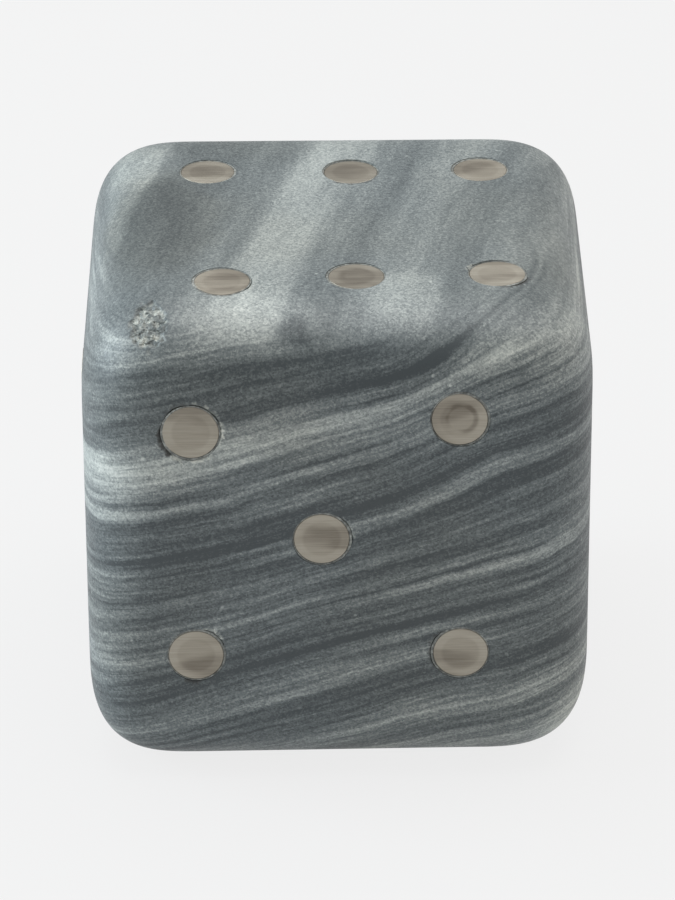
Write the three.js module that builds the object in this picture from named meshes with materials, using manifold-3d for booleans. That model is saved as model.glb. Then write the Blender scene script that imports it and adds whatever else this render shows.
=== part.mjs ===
// A large gaming die ground from one block of banded marble, with a flat metal disc bonded into a
// drilled pocket for every pip. Millimetres, +Z up, origin in the middle of the face it rests on.
// The five looks along -Y, the six looks up, and opposite faces add up to seven.
import * as THREE from "three";
import { mergeVertices } from "three/addons/utils/BufferGeometryUtils.js";
import Module from "manifold-3d";

const wasm = await Module();
wasm.setup();

// The block
const BLOCK_SIDE = 90; // between opposite flat faces
const ROUNDING_POWER = 3; // 2 rounds an edge as a quarter circle, 3 keeps its faces flat for longer
const ROUNDING_STEPS = 10;
// How far in from its three faces each hand-ground corner starts to round, by the signs of x, y and z
const CORNER_ROUNDING = {
  "---": 19,
  "+--": 20.5,
  "-+-": 21,
  "++-": 21,
  "--+": 24,
  "+-+": 20,
  "-++": 19,
  "+++": 19,
};

// The pip discs, parted off a round bar
const PIP_DIAMETER = 9.8;
const PIP_THICKNESS = 3;
const PIP_EDGE_BREAK = 0.2; // filed off the rim that shows
const PIP_LEAD_IN = 0.5; // chamfer on the rim that goes in first
const PIP_SPREAD = 23.5; // from the middle of a pattern to its outer rows and columns
const ROUND_SIDES = 28;

// The drilled pockets and the adhesive that fills them
const GLUE_GAP = 0.3; // round a disc that sits in the middle of its pocket
const GLUE_BED = 0.5; // under a disc
const GLUE_SINK = 0.8; // from the face down to the top of the adhesive
const DISC_DRIFT = 0.12; // how far a disc slid across its pocket before the adhesive set
const SEAT = 0.04; // left free between a disc, its adhesive and the stone
const CUTTER_OVERRUN = 5; // how far the drill reaches out of the face

// Each face has the directions it looks and reads upright, and the drilled pattern's shift from the
// middle of the face, right and up. A pip has its column and row in the pattern, how far the drill
// slipped right and up, how deep the disc lies under the face, and the way it drifted, in degrees.
const FACES = [
  {
    name: "six",
    out: [0, 0, 1],
    up: [0, 1, 0],
    shift: [3, -2],
    pips: [
      { at: [-1, 1], slip: [-2.8, -1.0], sink: 0.1, drift: 150 },
      { at: [0, 1], slip: [-0.1, -1.2], sink: 0.25, drift: 100 },
      { at: [1, 1], slip: [0.1, -0.9], sink: 0.12, drift: 320 },
      { at: [-1, -1], slip: [0.7, 0.0], sink: 0.1, drift: 30 },
      { at: [0, -1], slip: [0.6, 1.5], sink: 0.12, drift: 340 },
      { at: [1, -1], slip: [1.7, 2.3], sink: 0.2, drift: 135 },
    ],
  },
  {
    name: "five",
    out: [0, -1, 0],
    up: [0, 0, 1],
    shift: [-2, 3.5],
    pips: [
      { at: [-1, 1], slip: [0.3, -1.9], sink: 0.15, drift: 45 },
      { at: [1, 1], slip: [-0.3, 0.3], sink: 0.2, drift: 200 },
      { at: [0, 0], slip: [-0.8, 0.6], sink: 0.1, drift: 180 },
      { at: [-1, -1], slip: [0.3, 0.8], sink: 0.12, drift: 230 },
      { at: [1, -1], slip: [0.1, 0.9], sink: 0.15, drift: 330 },
    ],
  },
  {
    name: "four",
    out: [-1, 0, 0],
    up: [0, 0, 1],
    shift: [-1, 1.5],
    pips: [
      { at: [-1, 1], slip: [0.6, 0.4], sink: 0.12, drift: 20 },
      { at: [1, 1], slip: [-0.9, -0.3], sink: 0.15, drift: 260 },
      { at: [-1, -1], slip: [1.1, 0.2], sink: 0.1, drift: 120 },
      { at: [1, -1], slip: [0.3, -0.8], sink: 0.2, drift: 310 },
    ],
  },
  {
    name: "three",
    out: [1, 0, 0],
    up: [0, 0, 1],
    shift: [1.5, 1],
    pips: [
      { at: [-1, 1], slip: [-0.4, -0.7], sink: 0.15, drift: 75 },
      { at: [0, 0], slip: [0.5, 0.9], sink: 0.1, drift: 190 },
      { at: [1, -1], slip: [-1.2, 0.3], sink: 0.12, drift: 285 },
    ],
  },
  {
    name: "two",
    out: [0, 1, 0],
    up: [0, 0, 1],
    shift: [0.5, 2],
    pips: [
      { at: [-1, 1], slip: [0.8, -0.5], sink: 0.12, drift: 240 },
      { at: [1, -1], slip: [-0.6, 1.0], sink: 0.15, drift: 60 },
    ],
  },
  {
    name: "one",
    out: [0, 0, -1],
    up: [0, 1, 0],
    shift: [-1, 0.5],
    pips: [{ at: [0, 0], slip: [-0.2, 0.3], sink: 0.2, drift: 160 }],
  },
];

const marble = new THREE.MeshStandardMaterial({ color: 0x6f7c80, roughness: 0.55, metalness: 0 });
const brushedMetal = new THREE.MeshStandardMaterial({ color: 0x8d857b, roughness: 0.45, metalness: 1 });
const curedAdhesive = new THREE.MeshStandardMaterial({ color: 0x4a4843, roughness: 0.6, metalness: 0 });

const WELD = 1e-4; // vertices closer together than this are one

const half = BLOCK_SIDE / 2;
const pipRadius = PIP_DIAMETER / 2;
const pocketRadius = pipRadius + GLUE_GAP;

// Joining and cutting

function solidOf(geometry) {
  const bare = geometry.clone();
  bare.deleteAttribute("normal");
  bare.deleteAttribute("uv");
  const merged = mergeVertices(bare, WELD);
  return new wasm.Manifold(
    new wasm.Mesh({
      numProp: 3,
      vertProperties: merged.attributes.position.array,
      triVerts: new Uint32Array(merged.index.array),
    }),
  );
}

function geometryOf(solid) {
  const { vertProperties, triVerts } = solid.getMesh();
  const geometry = new THREE.BufferGeometry();
  geometry.setAttribute("position", new THREE.BufferAttribute(vertProperties, 3));
  geometry.setIndex(new THREE.BufferAttribute(triVerts, 1));
  geometry.computeVertexNormals();
  return geometry;
}

// A turned solid on the Z axis, from a profile of [radius, z] pairs that starts and ends on the axis
function turned(profile) {
  const points = profile.map(([radius, z]) => new THREE.Vector2(radius, z));
  return new THREE.LatheGeometry(points, ROUND_SIDES).rotateX(Math.PI / 2);
}

// The rounded block

// A point of a corner's rounded patch: steps is how far the point lies towards x, y and z, and adds
// up to ROUNDING_STEPS
function cornerPoint(signs, steps) {
  const key = signs.map((sign) => (sign > 0 ? "+" : "-")).join("");
  const rounding = CORNER_ROUNDING[key];
  const lean = steps.map((step) => Math.sin((step / ROUNDING_STEPS) * (Math.PI / 2)));
  const length = lean.reduce((sum, v) => sum + v ** ROUNDING_POWER, 0) ** (1 / ROUNDING_POWER);
  const place = signs.map((sign, axis) => sign * (half - rounding + (rounding * lean[axis]) / length));
  return new THREE.Vector3(...place);
}

function roundedBlock() {
  const corners = [];
  // The block is convex about its middle, so a triangle that faces the middle is turned round
  const addTriangle = (a, b, c) => {
    const normal = b.clone().sub(a).cross(c.clone().sub(a));
    const triangle = normal.dot(a) < 0 ? [a, c, b] : [a, b, c];
    triangle.forEach((point) => corners.push(point.x, point.y, point.z));
  };
  const addQuad = (a, b, c, d) => {
    addTriangle(a, b, c);
    addTriangle(a, c, d);
  };
  const bothSigns = [-1, 1];

  for (const x of bothSigns) {
    for (const y of bothSigns) {
      for (const z of bothSigns) {
        const point = (i, j) => cornerPoint([x, y, z], [i, j, ROUNDING_STEPS - i - j]);
        for (let i = 0; i < ROUNDING_STEPS; i++) {
          for (let j = 0; j < ROUNDING_STEPS - i; j++) {
            addTriangle(point(i, j), point(i + 1, j), point(i, j + 1));
            if (i + j < ROUNDING_STEPS - 1) {
              addTriangle(point(i + 1, j), point(i + 1, j + 1), point(i, j + 1));
            }
          }
        }
      }
    }
  }

  for (const along of [0, 1, 2]) {
    const [first, second] = [(along + 1) % 3, (along + 2) % 3];
    // Any point of the rounding whose patch lies at the given end of this axis
    const point = (end, p, q, step) => {
      const signs = [];
      const steps = [];
      [signs[along], signs[first], signs[second]] = [end, p, q];
      [steps[along], steps[first], steps[second]] = [0, step, ROUNDING_STEPS - step];
      return cornerPoint(signs, steps);
    };
    for (const p of bothSigns) {
      for (const q of bothSigns) {
        for (let step = 0; step < ROUNDING_STEPS; step++) {
          const near = [point(-1, p, q, step), point(1, p, q, step)];
          const far = [point(1, p, q, step + 1), point(-1, p, q, step + 1)];
          addQuad(...near, ...far);
        }
      }
      // The flat face that looks along p of the first axis
      const flat = (end, q) => point(end, p, q, ROUNDING_STEPS);
      addQuad(flat(-1, -1), flat(1, -1), flat(1, 1), flat(-1, 1));
    }
  }

  const geometry = new THREE.BufferGeometry();
  geometry.setAttribute("position", new THREE.Float32BufferAttribute(corners, 3));
  return geometry;
}

// One pip: a disc, the pocket drilled for it and the adhesive between them, in its face's own frame

function discGeometry() {
  return turned([
    [0, 0],
    [pipRadius - PIP_LEAD_IN, 0],
    [pipRadius, PIP_LEAD_IN],
    [pipRadius, PIP_THICKNESS - PIP_EDGE_BREAK],
    [pipRadius - PIP_EDGE_BREAK, PIP_THICKNESS],
    [0, PIP_THICKNESS],
  ]);
}

function drilling(radius, bottom, top) {
  return turned([
    [0, bottom],
    [radius, bottom],
    [radius, top],
    [0, top],
  ]);
}

function pipPlan(face, pip) {
  const x = face.shift[0] + pip.at[0] * PIP_SPREAD + pip.slip[0];
  const y = face.shift[1] + pip.at[1] * PIP_SPREAD + pip.slip[1];
  const drift = THREE.MathUtils.degToRad(pip.drift);
  return {
    disc: new THREE.Vector3(x, y, -pip.sink - PIP_THICKNESS),
    pocket: new THREE.Vector3(x - DISC_DRIFT * Math.cos(drift), y - DISC_DRIFT * Math.sin(drift), 0),
    pocketFloor: -pip.sink - PIP_THICKNESS - GLUE_BED,
  };
}

function adhesiveGeometry(plan) {
  const { pocket, disc } = plan;
  const fill = drilling(pocketRadius - SEAT, plan.pocketFloor + SEAT, -GLUE_SINK);
  fill.translate(pocket.x, pocket.y, 0);
  const room = drilling(pipRadius + SEAT, disc.z - SEAT, CUTTER_OVERRUN);
  room.translate(disc.x, disc.y, 0);
  return geometryOf(solidOf(fill).subtract(solidOf(room)));
}

// The assembly

const die = new THREE.Group();
let stone = solidOf(roundedBlock().translate(0, 0, half));

for (const face of FACES) {
  const out = new THREE.Vector3(...face.out);
  const up = new THREE.Vector3(...face.up);
  const right = up.clone().cross(out);
  const side = new THREE.Group();
  side.quaternion.setFromRotationMatrix(new THREE.Matrix4().makeBasis(right, up, out));
  side.position.copy(out).multiplyScalar(half).add(new THREE.Vector3(0, 0, half));
  side.updateMatrix();
  die.add(side);

  face.pips.forEach((pip, index) => {
    const plan = pipPlan(face, pip);
    const pocket = drilling(pocketRadius, plan.pocketFloor, CUTTER_OVERRUN);
    pocket.translate(plan.pocket.x, plan.pocket.y, 0).applyMatrix4(side.matrix);
    stone = stone.subtract(solidOf(pocket));

    const adhesive = new THREE.Mesh(adhesiveGeometry(plan), curedAdhesive);
    adhesive.name = `adhesive_${face.name}_${index + 1}`;
    side.add(adhesive);

    const disc = new THREE.Mesh(discGeometry(), brushedMetal);
    disc.name = `pip_${face.name}_${index + 1}`;
    disc.position.copy(plan.disc);
    side.add(disc);
  });
}

const block = new THREE.Mesh(geometryOf(stone), marble);
block.name = "marble_block";
die.add(block);

export default die;
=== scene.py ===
import math

import bmesh
import bpy
import numpy as np
from mathutils import Matrix, Vector, noise
from mathutils.bvhtree import BVHTree


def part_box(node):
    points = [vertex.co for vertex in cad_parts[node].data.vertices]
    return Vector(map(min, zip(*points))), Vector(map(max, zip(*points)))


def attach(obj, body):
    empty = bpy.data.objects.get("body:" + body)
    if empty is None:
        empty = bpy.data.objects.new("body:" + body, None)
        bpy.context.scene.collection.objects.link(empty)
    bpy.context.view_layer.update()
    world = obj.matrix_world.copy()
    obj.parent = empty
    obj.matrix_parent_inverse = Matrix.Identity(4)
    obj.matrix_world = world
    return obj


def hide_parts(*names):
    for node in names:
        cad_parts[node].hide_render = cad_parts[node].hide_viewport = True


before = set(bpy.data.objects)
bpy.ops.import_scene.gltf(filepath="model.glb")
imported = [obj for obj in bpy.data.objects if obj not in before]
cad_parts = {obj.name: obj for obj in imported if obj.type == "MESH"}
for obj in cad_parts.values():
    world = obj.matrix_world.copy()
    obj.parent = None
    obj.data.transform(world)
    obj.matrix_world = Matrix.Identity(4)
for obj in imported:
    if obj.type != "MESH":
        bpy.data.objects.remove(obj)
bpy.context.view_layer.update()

# The photograph's view: a long lens in front of the die, looking down on it from the front.
# The die's middle sits a little above the middle of the picture.
MM = 0.001
FRAME_WIDTH, FRAME_HEIGHT = 675, 900
DIE_MIDDLE_X, DIE_MIDDLE_Y = 336.9, 440.2  # where the middle of the block lies, in pixels
LENS_PIXELS = 4595
VIEW_DISTANCE = 0.844
VIEW_ELEVATION = math.radians(27.7)
VIEW_ROLL = math.radians(-0.45)
SENSOR = 36

block_low, block_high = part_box("marble_block")
block_middle = (block_low + block_high) / 2
half_side = (block_high.x - block_low.x) / 2

back = Vector((0, -math.cos(VIEW_ELEVATION), math.sin(VIEW_ELEVATION)))
level_right = Vector((1, 0, 0))
level_up = back.cross(level_right)
right = math.cos(VIEW_ROLL) * level_right + math.sin(VIEW_ROLL) * level_up
up = back.cross(right)
camera = bpy.data.objects.new("camera", bpy.data.cameras.new("camera"))
camera.matrix_world = Matrix((right, up, back)).transposed().to_4x4()
camera.location = block_middle + back * VIEW_DISTANCE
camera.data.sensor_width = SENSOR
camera.data.lens = LENS_PIXELS / FRAME_HEIGHT * SENSOR
camera.data.shift_x = (FRAME_WIDTH / 2 - DIE_MIDDLE_X) / FRAME_HEIGHT
camera.data.shift_y = (DIE_MIDDLE_Y - FRAME_HEIGHT / 2) / FRAME_HEIGHT
camera.data.clip_start = 0.01
bpy.context.scene.collection.objects.link(camera)
bpy.context.scene.camera = camera
bpy.context.scene.view_settings.view_transform = "Standard"

# The marble block: one sawn cube of banded marble, its edges and corners ground round by hand, each
# corner by its own amount, then honed to a dull sheen. A flat-bottomed pocket is drilled for each
# pip, and the drill has broken small chips off the pocket's rim.
ROUNDING_POWER = 3  # 2 would round the edges to a quarter circle, and more turns them tighter
GRID_CELLS = 96  # along each side of the cube
CORNER_ROUNDING = {
    (-1, -1, -1): 19 * MM,
    (1, -1, -1): 20.5 * MM,
    (-1, 1, -1): 21 * MM,
    (1, 1, -1): 21 * MM,
    (-1, -1, 1): 24 * MM,
    (1, -1, 1): 20 * MM,
    (-1, 1, 1): 19 * MM,
    (1, 1, 1): 19 * MM,
}
CORNER_MIDDLE = half_side - 21 * MM  # about where the corners' roundings start


def rounding_at(points):
    """How far in the edges start to round, blended between the eight corners."""
    share = (np.clip(points / CORNER_MIDDLE, -1, 1) + 1) / 2
    total = np.zeros(len(points))
    for signs, rounding in CORNER_ROUNDING.items():
        weight = np.ones(len(points))
        for axis, sign in enumerate(signs):
            weight *= share[:, axis] if sign > 0 else 1 - share[:, axis]
        total += weight * rounding
    return total[:, None]


def rounded(points):
    """Points of a sharp cube moved in onto the hand-rounded one."""
    rounding = rounding_at(points)
    core = np.clip(points, rounding - half_side, half_side - rounding)
    reach = points - core
    length = (np.abs(reach) ** ROUNDING_POWER).sum(1, keepdims=True) ** (1 / ROUNDING_POWER)
    return core + reach / length * rounding


def mesh_object(name, vertices, faces):
    mesh = bpy.data.meshes.new(name)
    mesh.from_pydata([tuple(v) for v in vertices], [], faces)
    made = bpy.data.objects.new(name, mesh)
    bpy.context.scene.collection.objects.link(made)
    return made


WELD = 0.001 * MM


def mended(made, weld=WELD):
    """Doubles welded and faces turned outwards."""
    work = bmesh.new()
    work.from_mesh(made.data)
    bmesh.ops.remove_doubles(work, verts=work.verts, dist=weld)
    bmesh.ops.recalc_face_normals(work, faces=work.faces)
    work.to_mesh(made.data)
    work.free()


steps = np.linspace(-half_side, half_side, GRID_CELLS + 1)
across, along = (g.ravel() for g in np.meshgrid(steps, steps, indexing="ij"))
row = GRID_CELLS + 1
quads = [
    (i * row + j, (i + 1) * row + j, (i + 1) * row + j + 1, i * row + j + 1)
    for i in range(GRID_CELLS)
    for j in range(GRID_CELLS)
]
block_points, block_faces = [], []
for axis in range(3):
    for sign in (-1, 1):
        points = np.zeros((row * row, 3))
        points[:, axis] = sign * half_side
        points[:, (axis + 1) % 3] = across
        points[:, (axis + 2) % 3] = along
        offset = len(block_points) * row * row
        block_points.append(rounded(points) + np.array(block_middle))
        block_faces += [tuple(offset + corner for corner in quad) for quad in quads]
block = mesh_object("honed_marble_block", np.vstack(block_points), block_faces)
mended(block)
whole_stone = BVHTree.FromObject(block, bpy.context.evaluated_depsgraph_get())

POCKET_SEAT = 0.04 * MM  # the adhesive's clearance to the stone
POCKET_SIDES = 96
RIM_DEPTH = 0.35 * MM  # how far down the pocket's wall the chips reach
RIM_CHIP = 0.2 * MM  # the widest that an ordinary rim has broken back
CUTTER_TOP = 2 * MM
# The larger chips: pocket, direction and half of the spread in degrees, width, and how pale the
# bruised stone is there, or, below zero, how dark the shadow painted into the gap that the adhesive left
CHIPS = [
    ("adhesive_five_1", 205, 42, 0.85 * MM, -1.0),
    ("adhesive_five_1", 243, 13, 1.5 * MM, 0.8),
    ("adhesive_five_1", 35, 65, 0.75 * MM, 0.9),
    ("adhesive_five_1", 290, 25, 0.5 * MM, 0.6),
    ("adhesive_five_1", 120, 30, 0.4 * MM, -0.5),
    ("adhesive_five_2", 320, 50, 0.3 * MM, 0.3),
    ("adhesive_five_3", 25, 40, 0.45 * MM, 0.6),
    ("adhesive_five_4", 50, 30, 0.8 * MM, 0.9),
    ("adhesive_five_4", 262, 18, 0.5 * MM, -0.8),
    ("adhesive_five_5", 165, 55, 0.4 * MM, -0.6),
    ("adhesive_six_2", 280, 50, 0.5 * MM, -1.0),
    ("adhesive_six_4", 345, 40, 0.4 * MM, 0.3),
    ("adhesive_six_6", 152, 16, 0.9 * MM, 0.9),
    ("adhesive_six_6", 312, 45, 0.45 * MM, -0.8),
    ("adhesive_three_1", 60, 25, 0.6 * MM, 0.5),
    ("adhesive_four_3", 230, 35, 0.5 * MM, -0.7),
    ("adhesive_two_2", 140, 20, 0.7 * MM, 0.6),
]


def outward_frame(node):
    """The middle of a pip's or a pocket's outer end, and the axes right, up and out of its face."""
    low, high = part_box(node)
    middle = (low + high) / 2
    size = high - low
    axis = min(range(3), key=lambda k: size[k])
    out = Vector((0, 0, 0))
    out[axis] = 1 if middle[axis] > block_middle[axis] else -1
    upright = Vector((0, 1, 0)) if axis == 2 else Vector((0, 0, 1))
    end = middle + out * size[axis] / 2
    return end, Matrix((upright.cross(out), upright, out)).transposed(), size


def face_level(point, out):
    """How far a point lies under the flat face that it belongs to."""
    return half_side - (point - block_middle).dot(out)


def stone_level(point, out):
    """How far the rounded stone lies under the flat face, out from a point."""
    hit = whole_stone.ray_cast(point + out * half_side, -out)[0]
    return face_level(hit, out)


def ragged(angle, seed):
    """A chipped rim's width at an angle, from 0 to 1: mostly narrow, with a few wide bites."""
    waves = sum(
        math.sin(angle * turns + seed * (turns + 1.7)) / turns**0.5 for turns in (2, 3, 5, 9, 14)
    )
    return max(0.0, min(1.0, 0.16 + 0.3 * waves))


def chipping(node, angle, seed):
    """How far a pocket's rim is broken back at an angle, and how pale the bruised stone is there, or, below
    zero, how dark the shadow painted into its gap.
    """
    width, shade = RIM_CHIP * ragged(angle, seed), 0.0
    for chipped, direction, spread, reach, tone in CHIPS:
        if chipped == node:
            turn = (math.degrees(angle) - direction + 180) % 360 - 180
            share = max(0.0, 1 - (turn / spread) ** 2)
            if reach * share > width:
                width = reach * share * (0.65 + 0.5 * ragged(angle * 2, seed))
                shade = tone * min(1.0, share * 2)
    return width, shade


pip_nodes = sorted(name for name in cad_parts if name.startswith("pip_"))
glue_nodes = sorted(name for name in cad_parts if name.startswith("adhesive_"))


def spokes(axes):
    """The directions across a face to the sides of a round pocket, each with its angle."""
    for side in range(POCKET_SIDES):
        angle = 2 * math.pi * side / POCKET_SIDES
        yield angle, axes @ Vector((math.cos(angle), math.sin(angle), 0))


def capped_rings(start, rings):
    """Quads that join rings of points, one after the other, and a cap on the first and the last."""
    sides = POCKET_SIDES
    last = start + (rings - 1) * sides
    walls = [
        (
            start + ring * sides + side,
            start + ring * sides + (side + 1) % sides,
            start + (ring + 1) * sides + (side + 1) % sides,
            start + (ring + 1) * sides + side,
        )
        for ring in range(rings - 1)
        for side in range(sides)
    ]
    return walls + [tuple(range(start + sides - 1, start - 1, -1)), tuple(range(last, last + sides))]


RINGS = 4
cutter_points, cutter_faces = [], []
for seed, node in enumerate(glue_nodes):
    end, axes, size = outward_frame(node)
    out = axes.col[2]
    radius = max(size) / 2 + POCKET_SEAT
    level = face_level(end, out)
    floor_depth = level + min(size) + POCKET_SEAT
    start = len(cutter_points)
    for ring in range(RINGS):
        for angle, across_face in spokes(axes):
            surface = stone_level(end + across_face * radius, out)
            depth = (floor_depth, surface + RIM_DEPTH, surface, -CUTTER_TOP)[ring]
            wide = radius + (chipping(node, angle, seed)[0] if ring >= 2 else 0)
            cutter_points.append(end + across_face * wide + out * (level - depth))
    cutter_faces += capped_rings(start, RINGS)
cutter = mesh_object("pocket_drill", cutter_points, cutter_faces)
mended(cutter)


def with_modifiers_applied(made):
    bpy.context.view_layer.update()
    evaluated = made.evaluated_get(bpy.context.evaluated_depsgraph_get())
    applied = bpy.data.meshes.new_from_object(evaluated)
    made.modifiers.clear()
    made.data = applied


def smooth(made, crease):
    """Smooth shading, but for edges that turn by more than the crease's angle."""
    for polygon in made.data.polygons:
        polygon.use_smooth = True
    made.data.set_sharp_from_angle(angle=math.radians(crease))


drilled = block.modifiers.new("pockets", "BOOLEAN")
drilled.operation = "DIFFERENCE"
drilled.solver = "EXACT"
drilled.object = cutter
with_modifiers_applied(block)
bpy.data.objects.remove(cutter)

# A patch of coarse crystals lies open on the edge over the front's upper left corner, where the
# grinding has torn grains out of the stone
PATCH_MIDDLE = Vector((-32.7 * MM, -37.2 * MM, 87.8 * MM))
PATCH_REACH = Vector((3.3 * MM, 7.6 * MM, 4.8 * MM))
PATCH_CUTS = 3  # into how many more each edge of the patch is cut
PATCH_DEPTH = 0.8 * MM
PATCH_GRAIN = 0.9 * MM  # the size of one crystal
RIM_REACH = 2 * MM  # how far from a chipped pocket the stone gets a finer surface
RIM_CELL = 0.3 * MM
RIM_HALVINGS = 3
BRUISE_REACH = 0.3 * MM  # how far the bruised stone or the shadow painted into the gap goes past the chip's edge


def patch_share(point):
    """1 in the middle of the crystal patch, falling raggedly to 0 at its rim."""
    away = point - PATCH_MIDDLE
    reach = Vector([away[k] / PATCH_REACH[k] for k in range(3)]).length
    reach += 0.35 * noise.noise(point * (0.35 / MM)) + 0.25 * noise.noise(point * (1.1 / MM))
    return max(0.0, min(1.0, (1.0 - reach) * 4))


SLIVER = 0.01 * MM  # edges shorter than this, which the drilling leaves, are closed up


def close_slivers():
    bmesh.ops.remove_doubles(work, verts=work.verts, dist=SLIVER)
    bmesh.ops.dissolve_degenerate(work, dist=SLIVER, edges=work.edges)
    work.normal_update()


work = bmesh.new()
work.from_mesh(block.data)
close_slivers()
near = [
    edge
    for edge in work.edges
    if max(abs((edge.verts[0].co - PATCH_MIDDLE)[k]) / PATCH_REACH[k] for k in range(3)) < 1.3
]
bmesh.ops.subdivide_edges(work, edges=near, cuts=PATCH_CUTS, use_grid_fill=True)

# The stone round the larger chips gets a finer surface, to hold their ragged outlines
chipped_nodes = sorted({chip[0] for chip in CHIPS})
FACES_OUT = 0.3  # the least that a face of the surface looks out, where a pocket's wall has 0


def round_a_rim(node):
    """The faces of the stone's surface close round one pocket's rim."""
    end, axes, size = outward_frame(node)
    pocket = max(size) / 2
    close = [v for v in work.verts if (v.co - end).length < pocket + RIM_REACH + CUTTER_TOP]

    def beside(vertex):
        local = axes.transposed() @ (vertex.co - end)
        return pocket < math.hypot(local.x, local.y) < pocket + RIM_REACH

    work.faces.index_update()
    found = {face for vertex in close if beside(vertex) for face in vertex.link_faces}
    facing = [face for face in found if face.normal.dot(axes.col[2]) > FACES_OUT]
    return sorted(facing, key=lambda face: face.index)


for node in chipped_nodes:
    bmesh.ops.triangulate(work, faces=round_a_rim(node))
    for halving in range(RIM_HALVINGS):
        work.edges.index_update()
        edges = {edge for face in round_a_rim(node) for edge in face.edges}
        long_edges = [edge for edge in edges if edge.calc_length() > 2 * RIM_CELL]
        long_edges.sort(key=lambda edge: edge.index)
        bmesh.ops.subdivide_edges(work, edges=long_edges, cuts=1)
        many_sided = [face for face in round_a_rim(node) if len(face.verts) > 3]
        bmesh.ops.triangulate(work, faces=many_sided)
close_slivers()
broken = work.verts.layers.float.new("broken")
inward = {}
for vertex in work.verts:
    share = patch_share(vertex.co)
    vertex[broken] = share
    if share > 0:
        facet = noise.cell(vertex.co / PATCH_GRAIN) * 0.5 + 0.5
        crumb = noise.noise(vertex.co * (2.6 / MM)) * 0.5 + 0.5
        inward[vertex] = share * PATCH_DEPTH * (0.15 + 0.5 * facet + 0.35 * crumb)
for vertex, depth in inward.items():
    vertex.co -= vertex.normal * depth
for seed, node in enumerate(glue_nodes):
    if node not in chipped_nodes:
        continue
    end, axes, size = outward_frame(node)
    for vertex in work.verts:
        if (vertex.co - end).length > max(size) / 2 + RIM_REACH + CUTTER_TOP:
            continue
        local = axes.transposed() @ (vertex.co - end)
        gap = math.hypot(local.x, local.y) - max(size) / 2
        if -BRUISE_REACH < gap < 3 * BRUISE_REACH and abs(local.z) < CUTTER_TOP:
            # A shade above zero is pale bruised stone; below zero it is shadow painted into the chip's open
            # gap
            width, shade = chipping(node, math.atan2(local.y, local.x) % (2 * math.pi), seed)
            edge_noise = 0.5 + noise.noise(vertex.co * (1.6 / MM))
            if shade and gap < width + BRUISE_REACH * 2 * edge_noise:
                vertex[broken] = shade * min(1.0, 0.5 + edge_noise)
work.to_mesh(block.data)
work.free()
smooth(block, 35)


def shader_node(tree, kind, **settings):
    made = tree.nodes.new(kind)
    for name, value in settings.items():
        setattr(made, name, value)
    return made


def fill(tree, node, **inputs):
    """Links or sets a node's inputs by name, with _ for a space."""
    for name, value in inputs.items():
        socket = node.inputs[name.replace("_", " ")]
        if isinstance(value, bpy.types.NodeSocket):
            tree.links.new(value, socket)
        else:
            socket.default_value = value
    return node


def maths(tree, operation, *values, clamp=False):
    made = shader_node(tree, "ShaderNodeMath", operation=operation, use_clamp=clamp)
    for socket, value in zip(made.inputs, values):
        if isinstance(value, bpy.types.NodeSocket):
            tree.links.new(value, socket)
        else:
            socket.default_value = value
    return made.outputs[0]


def ease(tree, value, low, high, start=0.0, end=1.0):
    """A smooth step of a value from low to high."""
    made = shader_node(tree, "ShaderNodeMapRange", interpolation_type="SMOOTHSTEP")
    fill(tree, made, Value=value, From_Min=low, From_Max=high, To_Min=start, To_Max=end)
    return made.outputs["Result"]


def ramp(tree, value, stops, interpolation="LINEAR"):
    made = shader_node(tree, "ShaderNodeValToRGB")
    made.color_ramp.interpolation = interpolation
    elements = made.color_ramp.elements
    while len(elements) < len(stops):
        elements.new(0.5)
    for element, (position, colour) in zip(elements, stops):
        element.position = position
        element.color = (*colour, 1) if isinstance(colour, tuple) else (colour, colour, colour, 1)
    tree.links.new(value, made.inputs[0])
    return made.outputs["Color"]


def noise_texture(tree, vector, scale, detail=2.0, roughness=0.5):
    made = shader_node(tree, "ShaderNodeTexNoise")
    return fill(tree, made, Vector=vector, Scale=scale, Detail=detail, Roughness=roughness)


def srgb(red, green, blue):
    """A colour as a picture holds it, 0 to 255, in the linear light that a shader works in."""
    values = [v / 255 for v in (red, green, blue)]
    return tuple(v / 12.92 if v <= 0.04045 else ((v + 0.055) / 1.055) ** 2.4 for v in values)


def new_material(name):
    made = bpy.data.materials.new(name)
    made.use_nodes = True
    return made, made.node_tree, made.node_tree.nodes["Principled BSDF"]


# The beds of the marble, from the bottom up, in millimetres above the resting face where they pass
# through the middle of the front: 0 is the darkest bed and 1 the palest.
BED_BOTTOM, BED_TOP = -20, 110
BEDS = [
    (-8, 0.55), (-0.5, 0.62), (2.5, 0.4), (4.5, 0.52), (8, 0.5), (10.5, 0.32), (13, 0.16), (16, 0.3),
    (19, 0.54), (21, 0.42), (24, 0.34), (26.5, 0.16), (29, 0.26), (31.5, 0.18), (33.8, 0.46),
    (36.5, 0.4), (40, 0.24), (43, 0.34), (46.5, 0.22), (50, 0.38), (52.5, 0.16), (56, 0.22),
    (58.5, 0.36), (62, 0.44), (66, 0.5), (70, 0.68), (73.5, 0.62), (76.5, 0.24), (81, 0.2),
    (85, 0.3), (89, 0.5), (94, 0.5),
]
# Thin dark seams between the beds: height, half of the width, and darkness
SEAMS = [
    (1.2, 0.9, 0.4), (10, 0.5, 0.24), (14.6, 0.5, 0.2), (21.6, 0.4, 0.2), (27, 0.4, 0.16),
    (35.2, 0.6, 0.3), (43.6, 0.4, 0.18), (48.6, 0.5, 0.2), (60, 0.5, 0.28), (64.3, 0.6, 0.34),
]
BED_RISE = 0.305  # the beds rise to the right
BED_LEAN = 0.03  # and dip away from the front
FOLD_RISE = 2.6  # a fold lifts the upper beds on the right
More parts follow.
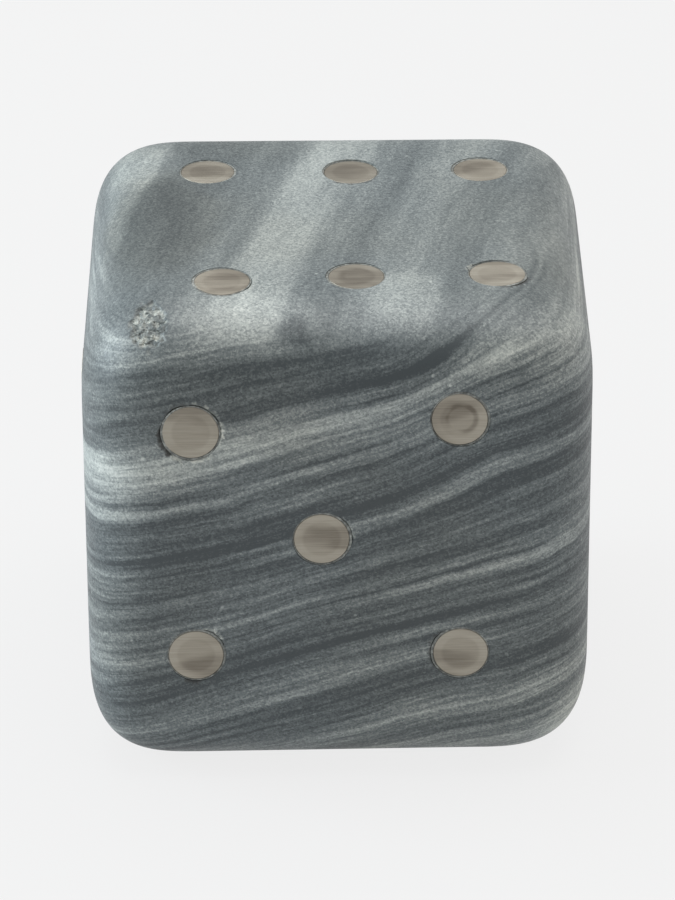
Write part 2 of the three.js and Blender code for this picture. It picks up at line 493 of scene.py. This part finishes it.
# Near the top the beds turn up on edge, and cross the top face from front to back: how far each
# lies to the right of the middle, in millimetres
CROSSING_BEDS = [
    (-46, 0.5), (-40, 0.5), (-36, 0.3), (-28, 0.28), (-20, 0.34), (-15, 0.44), (-10, 0.66),
    (-3, 0.64), (1, 0.42), (8, 0.38), (13, 0.48), (18, 0.56), (22, 0.5), (26, 0.42), (32, 0.5),
    (38, 0.54), (46, 0.5),
]
CROSSING_LEAN = 0.25
# Veins on the top face, by their distance from the middle that they curl round, and their darkness
CURL_MIDDLE = (5, -15)
VEINS_NEAR, VEINS_FAR = 24, 40
VEINS = [
    (26.6, 0.0), (27.4, 0.12), (28.0, 0.02), (29.0, 0.03), (30.2, 0.26), (31.0, 0.05), (31.8, 0.18),
    (32.5, 0.04), (34.5, 0.1), (35.6, 0.0),
]
# Clouds that lie across the beds, and painted highlights on the rounded edge between the front and the left
# side: middle, reach and how much paler or darker, in millimetres
CLOUDS_AND_PAINTED_HIGHLIGHTS = [
    ((-17, -36, 90), (15, 8, 7), 0.13),
    ((12, -31, 90), (9, 11, 6), 0.14),
    ((-33, -2, 92), (10, 24, 12), -0.12),
    ((-36, 25, 92), (9, 13, 10), 0.14),
    ((-7, -42, 88), (5, 6, 5), -0.26),
    ((-40, -45, 60), (18, 12, 7), 0.07),
    # painted highlight: a pale reflection down the rounded edge between the front and the left side
    ((-46, -42, 45), (13, 20, 48), 0.12),
    # painted highlight on the rounded corner where the front, the top and the left side meet
    ((-42, -44, 84), (12, 14, 7), 0.18),
    ((46, -42, 6), (13, 14, 12), 0.2),
    ((44, -40, 82), (12, 16, 8), 0.14),
    ((10, -44, 80), (16, 6, 7), -0.12),
    ((30, -10, 92), (24, 40, 10), -0.07),
]

marble, tree, surface = new_material("banded_marble")
place = shader_node(tree, "ShaderNodeTexCoord").outputs["Object"]


def vector_maths(operation, first, second=None, third=None, scale=None):
    made = shader_node(tree, "ShaderNodeVectorMath", operation=operation)
    for socket, value in zip(made.inputs, (first, second, third)):
        if isinstance(value, bpy.types.NodeSocket):
            tree.links.new(value, socket)
        elif value is not None:
            socket.default_value = value
    if scale is not None:
        made.inputs["Scale"].default_value = scale
    return made.outputs["Value" if operation == "LENGTH" else "Vector"]


def drifted(vector, scale, reach, detail):
    """A vector moved about by up to a reach, both ways."""
    drift = noise_texture(tree, vector, scale, detail).outputs["Color"]
    return vector_maths("ADD", vector, vector_maths("MULTIPLY_ADD", drift, (2 * reach,) * 3, (-reach,) * 3))


def split(vector):
    parts = shader_node(tree, "ShaderNodeSeparateXYZ")
    tree.links.new(vector, parts.inputs[0])
    return parts.outputs


def joined_axes(x, y, z):
    made = shader_node(tree, "ShaderNodeCombineXYZ")
    for socket, value in zip(made.inputs, (x, y, z)):
        tree.links.new(value, socket)
    return made.outputs[0]


def add_times(total, value, factor, offset=0.0):
    return maths(tree, "ADD", total, maths(tree, "MULTIPLY_ADD", value, factor, offset))


def times(first, second):
    return maths(tree, "MULTIPLY", first, second)


def minus(first, second):
    return maths(tree, "SUBTRACT", first, second)


def crystal_cells(scale):
    """Cells packed like crystals: the distance to each one's middle, and three chances of its own."""
    cells = fill(tree, shader_node(tree, "ShaderNodeTexVoronoi"), Vector=in_mm, Scale=scale)
    chances = shader_node(tree, "ShaderNodeSeparateColor")
    tree.links.new(cells.outputs["Color"], chances.inputs[0])
    return cells.outputs["Distance"], chances.outputs


def raise_surface(height, strength, distance):
    relief = fill(tree, shader_node(tree, "ShaderNodeBump"), Strength=strength, Distance=distance)
    tree.links.new(height, relief.inputs["Height"])
    tree.links.new(relief.outputs[0], surface.inputs["Normal"])


def across_ramp(value, low, high, stops, interpolation):
    share = maths(tree, "DIVIDE", maths(tree, "SUBTRACT", value, low), high - low)
    stops = [((at - low) / (high - low), tone) for at, tone in stops]
    return ramp(tree, share, stops, interpolation)


in_mm = vector_maths("SCALE", place, scale=1 / MM)
swayed = drifted(in_mm, 0.022, 2.6, 1.0)
swayed = drifted(swayed, 0.16, 0.5, 3.0)
x, y, z = split(swayed)
steepness = times(ease(tree, z, 62, 90, 0, 0.5), ease(tree, x, -5, 25, 1, 0))
rise = times(times(x, BED_RISE), minus(1.0, steepness))
fold = times(ease(tree, x, 6, 30, 0, FOLD_RISE), ease(tree, z, 48, 66))
rise = maths(tree, "ADD", rise, fold)
bed = minus(maths(tree, "MULTIPLY_ADD", y, BED_LEAN, z), rise)
bed_tone = across_ramp(bed, BED_BOTTOM, BED_TOP, BEDS, "EASE")
seam_stops = []
for height, half_width, darkness in SEAMS:
    seam_stops += [(height - half_width, 0.0), (height, darkness), (height + half_width, 0.0)]
seams = across_ramp(bed, BED_BOTTOM, BED_TOP, seam_stops, "LINEAR")
seam_strength = noise_texture(tree, in_mm, 0.05, 2.0).outputs["Fac"]
seams = times(seams, ease(tree, seam_strength, 0.3, 0.6, 0.25, 1.0))
bed_tone = minus(bed_tone, seams)

# Fine streaks lie along the beds
along_bed = joined_axes(times(x, 0.02), times(y, 0.02), times(bed, 0.5))
streaks = noise_texture(tree, along_bed, 1.0, 6.0, 0.72).outputs["Fac"]
bed_tone = add_times(bed_tone, streaks, 2.0, -1.07)

crossing = minus(x, times(y, CROSSING_LEAN))
crossing_tone = across_ramp(crossing, CROSSING_BEDS[0][0], CROSSING_BEDS[-1][0], CROSSING_BEDS, "EASE")
along_crossing = joined_axes(times(crossing, 0.22), times(y, 0.03), times(z, 0.1))
crossing_streaks = noise_texture(tree, along_crossing, 1.0, 5.0, 0.66).outputs["Fac"]
crossing_tone = add_times(crossing_tone, crossing_streaks, 0.6, -0.34)
on_top = ease(tree, z, 82, 89)
tone = maths(tree, "ADD", times(bed_tone, minus(1.0, on_top)), times(crossing_tone, on_top))

frayed = drifted(drifted(in_mm, 0.09, 4.0, 2.0), 0.5, 1.2, 3.0)
# Each cloud makes the tone paler or darker, and the painted highlights make it paler
for middle, reach, change in CLOUDS_AND_PAINTED_HIGHLIGHTS:
    from_middle = vector_maths("DIVIDE", vector_maths("SUBTRACT", frayed, middle), reach)
    nearness = ease(tree, vector_maths("LENGTH", from_middle), 0.55, 1.1, change, 0.0)
    tone = maths(tree, "ADD", tone, nearness)

# Dark veins curl round the corner of the top face at the front right
from_curl = vector_maths("MULTIPLY", vector_maths("SUBTRACT", swayed, (*CURL_MIDDLE, 0)), (1, 1, 0))
veins = across_ramp(vector_maths("LENGTH", from_curl), VEINS_NEAR, VEINS_FAR, VEINS, "LINEAR")
veins = times(veins, times(ease(tree, x, 6, 14), ease(tree, y, -20, -6, 1, 0)))
veins = times(veins, times(ease(tree, z, 78, 84), ease(tree, seam_strength, 0.25, 0.5)))
tone = minus(tone, veins)

# Salt and pepper of single crystals, a third of a millimetre across, and a few larger white ones
_, crystal = crystal_cells(3.3)
tone = add_times(tone, crystal[0], 0.28, -0.14)
mottle = noise_texture(tree, in_mm, 1.7, 3.0, 0.75).outputs["Fac"]
tone = add_times(tone, mottle, 0.5, -0.25)
fleck_distance, fleck = crystal_cells(0.3)
few = maths(tree, "GREATER_THAN", fleck[0], 0.84)
tone = add_times(tone, times(ease(tree, fleck_distance, 0.04, 0.14, 1, 0), few), 0.3)

# Where grains are torn out, the open crystals are paler and each has its own shade
# The broken attribute: torn stone and bruised chips above zero, and shadow painted into the chips' gaps
# below zero
broken_stone_and_gap_shadow = shader_node(tree, "ShaderNodeAttribute", attribute_name="broken").outputs["Fac"]
torn = maths(tree, "MAXIMUM", broken_stone_and_gap_shadow, 0.0)
_, open_crystal = crystal_cells(1.3)
torn_tone = times(torn, maths(tree, "MULTIPLY_ADD", open_crystal[0], 0.55, -0.04))
tone = maths(tree, "ADD", tone, torn_tone)

# The stone's colours from its darkest tone to its palest. The upper left of the top is browner, and
# so is torn stone
BROWN_MIDDLE, BROWN_REACH = (-33, 0, 92), (14, 26, 14)
STONE_COLOURS = [
    (0.0, srgb(58, 65, 68)),
    (0.2, srgb(80, 87, 89)),
    (0.42, srgb(104, 111, 112)),
    (0.62, srgb(134, 140, 139)),
    (0.82, srgb(161, 167, 164)),
    (1.0, srgb(188, 192, 188)),
]
colour = ramp(tree, tone, STONE_COLOURS)
tint = noise_texture(tree, in_mm, 0.025, 2.0).outputs["Fac"]
from_brown = vector_maths("DIVIDE", vector_maths("SUBTRACT", frayed, BROWN_MIDDLE), BROWN_REACH)
brownness = ease(tree, vector_maths("LENGTH", from_brown), 0.5, 1.1, 0.9, 0.0)
warmth = maths(tree, "ADD", ease(tree, tint, 0.42, 0.66, 0.15, 0.6), times(torn, 0.6))
warmth = maths(tree, "ADD", warmth, brownness, clamp=True)
warm = shader_node(tree, "ShaderNodeMix", data_type="RGBA", blend_type="MULTIPLY")
tree.links.new(warmth, warm.inputs["Factor"])
tree.links.new(colour, warm.inputs[6])
warm.inputs[7].default_value = (1.0, 0.955, 0.89, 1)
# Below zero the broken attribute paints shadow into the chips' open gaps: the stone darkens to a near-black
# brown there
painted_gap_shadow = shader_node(tree, "ShaderNodeMix", data_type="RGBA")
tree.links.new(maths(tree, "MULTIPLY", broken_stone_and_gap_shadow, -0.85, clamp=True), painted_gap_shadow.inputs["Factor"])
tree.links.new(warm.outputs[2], painted_gap_shadow.inputs[6])
painted_gap_shadow.inputs[7].default_value = (*srgb(40, 38, 35), 1)
tree.links.new(painted_gap_shadow.outputs[2], surface.inputs["Base Color"])
tree.links.new(ease(tree, crystal[1], 0, 1, 0.42, 0.6), surface.inputs["Roughness"])
raise_surface(maths(tree, "MULTIPLY_ADD", mottle, 0.6, times(crystal[2], 0.3)), 0.6, 0.06 * MM)
surface.inputs["Specular IOR Level"].default_value = 0.45
block.data.materials.clear()
block.data.materials.append(marble)
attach(block, "root")
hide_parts("marble_block")

# The pips: slices of round metal bar, brushed across the face, with a lightly filed rim. Each is
# pressed into its pocket on a bed of adhesive and lies a hair under the stone.
PIP_SIDES = 96
PIP_RIM = 0.13 * MM
PIP_PROUD = 0.06 * MM  # how far a disc may stand over stone that falls away, before it is ground flush
SAW_RING = 2.6  # the radius of the ring, in millimetres, that the saw leaves on some discs
# How strongly the saw's ring shows on the discs that keep one
SAWN = {"pip_five_2": 1.0, "pip_six_5": 0.4, "pip_four_3": 0.7, "pip_three_2": 0.4, "pip_two_1": 0.9}

metal, tree, surface = new_material("brushed_pip_metal")
spot = shader_node(tree, "ShaderNodeAttribute", attribute_name="spot").outputs["Vector"]
chance = shader_node(tree, "ShaderNodeAttribute", attribute_name="chance").outputs["Fac"]
spot_mm = vector_maths("SCALE", spot, scale=1 / MM)
own_part = shader_node(tree, "ShaderNodeCombineXYZ")
tree.links.new(times(chance, 90.0), own_part.inputs[2])
own_place = vector_maths("ADD", spot_mm, own_part.outputs[0])
stretched = vector_maths("MULTIPLY", own_place, (0.12, 4.0, 1.0))
brushing = noise_texture(tree, stretched, 1.0, 5.0, 0.65).outputs["Fac"]
# Darker smudges drawn out across each disc are painted reflections
drawn_out = vector_maths("MULTIPLY", own_place, (0.09, 0.24, 1.0))
painted_reflection_smudge = ease(tree, noise_texture(tree, drawn_out, 1.0, 1.5, 0.4).outputs["Fac"], 0.42, 0.68)
# The metal is paler in a thin band along the rim
paler_rim_band = ease(tree, vector_maths("LENGTH", spot_mm), 4.2, 4.75)
sawn = shader_node(tree, "ShaderNodeAttribute", attribute_name="sawn").outputs["Fac"]
from_ring_middle = vector_maths("MULTIPLY", vector_maths("ADD", spot_mm, (-0.2, -0.2, 0)), (1, 1, 0))
off_ring = maths(tree, "ABSOLUTE", minus(vector_maths("LENGTH", from_ring_middle), SAW_RING))
ring_part = ease(tree, noise_texture(tree, own_place, 0.2, 1.0).outputs["Fac"], 0.45, 0.6)
saw_ring = times(times(ease(tree, off_ring, 0.1, 0.7, 1, 0), ring_part), sawn)
shade = maths(tree, "MULTIPLY_ADD", brushing, 0.6, 0.2)
shade = minus(shade, times(saw_ring, 0.2))
# the painted reflections darken the metal
shade = minus(shade, times(painted_reflection_smudge, 0.26))
shade = maths(tree, "ADD", shade, times(paler_rim_band, 0.1))
PIP_COLOURS = [(0.1, srgb(104, 97, 87)), (0.5, srgb(150, 144, 132)), (0.9, srgb(182, 177, 165))]
tree.links.new(ramp(tree, shade, PIP_COLOURS), surface.inputs["Base Color"])
surface.inputs["Metallic"].default_value = 0.75
surface.inputs["Anisotropic"].default_value = 0.4
tree.links.new(ease(tree, brushing, 0.2, 0.8, 0.4, 0.55), surface.inputs["Roughness"])
raise_surface(brushing, 0.35, 0.03 * MM)

inlay = bpy.data.node_groups.new("inlaid_disc", "GeometryNodeTree")
inlay.interface.new_socket("Geometry", in_out="INPUT", socket_type="NodeSocketGeometry")
inlay.interface.new_socket("Geometry", in_out="OUTPUT", socket_type="NodeSocketGeometry")
inlay_inputs = {
    name: inlay.interface.new_socket(name, in_out="INPUT", socket_type="NodeSocketFloat").identifier
    for name in ("Radius", "Thickness", "Rim")
}
entry = inlay.nodes.new("NodeGroupInput")
leave = inlay.nodes.new("NodeGroupOutput")


def geometry_node(kind, inputs=(), **settings):
    """A node of the disc's tree, with its inputs linked or set by number."""
    made = inlay.nodes.new(kind)
    for name, value in settings.items():
        setattr(made, name, value)
    for number, value in dict(inputs).items():
        if isinstance(value, bpy.types.NodeSocket):
            inlay.links.new(value, made.inputs[number])
        else:
            made.inputs[number].default_value = value
    return made


radius, thickness, rim = (entry.outputs[name] for name in ("Radius", "Thickness", "Rim"))
wall = geometry_node("ShaderNodeMath", {0: thickness, 1: rim}, operation="SUBTRACT").outputs[0]
inner = geometry_node("ShaderNodeMath", {0: radius, 1: rim}, operation="SUBTRACT").outputs[0]
shrink = geometry_node("ShaderNodeMath", {0: inner, 1: radius}, operation="DIVIDE").outputs[0]
underside = geometry_node(
    "GeometryNodeMeshCircle", {"Vertices": PIP_SIDES, "Radius": radius}, fill_type="NGON"
)
raised = geometry_node(
    "GeometryNodeExtrudeMesh", {"Mesh": underside.outputs[0], "Offset Scale": wall}, mode="FACES"
)
filed = geometry_node(
    "GeometryNodeExtrudeMesh",
    {"Mesh": raised.outputs["Mesh"], "Selection": raised.outputs["Top"], "Offset Scale": rim},
    mode="FACES",
)
narrowed = geometry_node(
    "GeometryNodeScaleElements",
    {"Geometry": filed.outputs["Mesh"], "Selection": filed.outputs["Top"], "Scale": shrink},
    domain="FACE",
)
closing = geometry_node("GeometryNodeFlipFaces", {"Mesh": underside.outputs[0]})
joined = geometry_node("GeometryNodeJoinGeometry")
inlay.links.new(narrowed.outputs[0], joined.inputs[0])
inlay.links.new(closing.outputs[0], joined.inputs[0])
welded = geometry_node("GeometryNodeMergeByDistance", {"Geometry": joined.outputs[0], "Distance": WELD})
local_place = geometry_node("GeometryNodeInputPosition")
marked = geometry_node(
    "GeometryNodeStoreNamedAttribute",
    {"Geometry": welded.outputs[0], "Name": "spot", "Value": local_place.outputs[0]},
    data_type="FLOAT_VECTOR",
    domain="POINT",
)
facing = geometry_node("GeometryNodeInputNamedAttribute", {"Name": "out"}, data_type="FLOAT_VECTOR")
turned = geometry_node("FunctionNodeAlignRotationToVector", {"Vector": facing.outputs[0]}, axis="Z")
copies = geometry_node(
    "GeometryNodeInstanceOnPoints",
    {"Points": entry.outputs["Geometry"], "Instance": marked.outputs[0], "Rotation": turned.outputs[0]},
)
lot = geometry_node("FunctionNodeRandomValue", {"Seed": 7}, data_type="FLOAT")
drawn = geometry_node(
    "GeometryNodeStoreNamedAttribute",
    {"Geometry": copies.outputs[0], "Name": "chance"},
    data_type="FLOAT",
    domain="INSTANCE",
)
inlay.links.new(lot.outputs[1], drawn.inputs["Value"])
real = geometry_node("GeometryNodeRealizeInstances", {"Geometry": drawn.outputs[0]})
finish = geometry_node("GeometryNodeSetMaterial", {"Geometry": real.outputs[0], "Material": metal})
inlay.links.new(finish.outputs[0], leave.inputs[0])

pip_frames = [outward_frame(node) for node in pip_nodes]
pip_size = pip_frames[0][2]
undersides = [end - axes.col[2] * min(size) for end, axes, size in pip_frames]
pips = mesh_object("inlaid_pips", undersides, [])
facing_out = pips.data.attributes.new("out", "FLOAT_VECTOR", "POINT")
for item, (end, axes, size) in zip(facing_out.data, pip_frames):
    item.vector = axes.col[2]
sawn_marks = pips.data.attributes.new("sawn", "FLOAT", "POINT")
for item, node in zip(sawn_marks.data, pip_nodes):
    item.value = SAWN.get(node, 0.0)
grown = pips.modifiers.new("inlaid_disc", "NODES")
grown.node_group = inlay
grown[inlay_inputs["Radius"]] = max(pip_size) / 2
grown[inlay_inputs["Thickness"]] = min(pip_size)
grown[inlay_inputs["Rim"]] = PIP_RIM
with_modifiers_applied(pips)
for vertex in pips.data.vertices:
    end, axes, size = min(pip_frames, key=lambda pip: (pip[0] - vertex.co).length)
    out = axes.col[2]
    proud = stone_level(vertex.co, out) - PIP_PROUD - face_level(vertex.co, out)
    if proud > 0:
        vertex.co -= out * proud
smooth(pips, 30)
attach(pips, "root")
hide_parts(*pip_nodes)

# The cured adhesive: a bed under each disc and the thin ring round it, drawn down between the disc
# and the stone as it shrank, and dulled with stone dust. The ring is wider where the disc drifted
# away from it.
RING_SINK = 0.02 * MM  # under the rim of the stone
RING_CLEARANCE = 0.005 * MM

adhesive, tree, surface = new_material("cured_adhesive")
place = shader_node(tree, "ShaderNodeTexCoord").outputs["Object"]
dust = noise_texture(tree, place, 1400.0, 3.0).outputs["Fac"]
GLUE_COLOURS = [(0.3, srgb(78, 80, 77)), (0.5, srgb(112, 114, 110)), (0.7, srgb(150, 152, 147))]
tree.links.new(ramp(tree, dust, GLUE_COLOURS), surface.inputs["Base Color"])
surface.inputs["Roughness"].default_value = 0.7
raise_surface(dust, 0.6, 0.08 * MM)

cup_points, cup_faces = [], []
for glue_node, pip_node in zip(glue_nodes, pip_nodes):
    glue_end, axes, glue_size = outward_frame(glue_node)
    pip_end, _, one_size = outward_frame(pip_node)
    out = axes.col[2]
    outer = max(glue_size) / 2 + POCKET_SEAT - RING_CLEARANCE
    inner = max(one_size) / 2 + RING_CLEARANCE
    pip_level = face_level(pip_end, out)
    floor_level = face_level(glue_end, out) + min(glue_size)
    bed_level = pip_level + min(one_size) + RING_CLEARANCE
    start = len(cup_points)
    for ring in range(RINGS):
        end, radius = (glue_end, outer) if ring < 2 else (pip_end, inner)
        for angle, across_face in spokes(axes):
            rim = end + across_face * radius
            rim_level = max(stone_level(rim, out), pip_level) + RING_SINK
            level = (floor_level, rim_level, rim_level, bed_level)[ring]
            cup_points.append(rim + out * (face_level(rim, out) - level))
    cup_faces += capped_rings(start, RINGS)
cups = mesh_object("adhesive_beds", cup_points, cup_faces)
mended(cups, WELD / 10)
cups.data.materials.append(adhesive)
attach(cups, "root")
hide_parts(*glue_nodes)

# The floor and the soft studio light: a pale sweep, a large soft box overhead, a cool one close on
# the left and a weak one on the right.
PAPER = srgb(240, 240, 240)
PAPER_GLOW = 0.93  # the rest is matte paper, which holds the faint shadow
FLOOR = -0.02 * MM  # a hair under the stone, so that the two never share a plane
FLOOR_REACH = 3
corners = [(-1, -1), (1, -1), (1, 1), (-1, 1)]
floor_points = [(x * FLOOR_REACH, y * FLOOR_REACH, FLOOR) for x, y in corners]
floor = mesh_object("floor", floor_points, [(0, 1, 2, 3)])
paper, tree, surface = new_material("pale_paper")
tree.nodes.remove(surface)
matte = shader_node(tree, "ShaderNodeBsdfDiffuse")
matte.inputs["Color"].default_value = (*PAPER, 1)
glow = shader_node(tree, "ShaderNodeEmission")
glow.inputs["Color"].default_value = (*PAPER, 1)
rays = shader_node(tree, "ShaderNodeLightPath")
seen = maths(tree, "ADD", rays.outputs["Is Camera Ray"], rays.outputs["Is Glossy Ray"], clamp=True)
sweep = shader_node(tree, "ShaderNodeMixShader")
tree.links.new(times(seen, PAPER_GLOW), sweep.inputs[0])
tree.links.new(matte.outputs[0], sweep.inputs[1])
tree.links.new(glow.outputs[0], sweep.inputs[2])
tree.links.new(sweep.outputs[0], tree.nodes["Material Output"].inputs["Surface"])
floor.data.materials.append(paper)

world = bpy.data.worlds.new("studio")
world.use_nodes = True
bpy.context.scene.world = world
tree = world.node_tree
air = tree.nodes["Background"]
rays = shader_node(tree, "ShaderNodeLightPath")
air.inputs["Color"].default_value = (*PAPER, 1)
tree.links.new(ease(tree, rays.outputs["Is Camera Ray"], 0, 1, 0.55, 1.0), air.inputs["Strength"])


def soft_box(name, place, width, height, power, colour):
    lamp = bpy.data.lights.new(name, "AREA")
    lamp.shape = "RECTANGLE"
    lamp.size = width
    lamp.size_y = height
    lamp.energy = power
    lamp.color = colour
    made = bpy.data.objects.new(name, lamp)
    made.location = place
    made.rotation_euler = (block_middle - Vector(place)).to_track_quat("-Z", "Y").to_euler()
    bpy.context.scene.collection.objects.link(made)


soft_box("overhead_box", (0.05, 0.15, 0.9), 0.9, 0.7, 7.0, (1, 1, 1))
soft_box("left_box", (-0.8, 0.1, 0.35), 0.5, 0.6, 7.5, (0.8, 0.92, 1.0))
soft_box("right_box", (0.8, 0.2, 0.3), 0.4, 0.5, 1.0, (1.0, 0.87, 0.74))
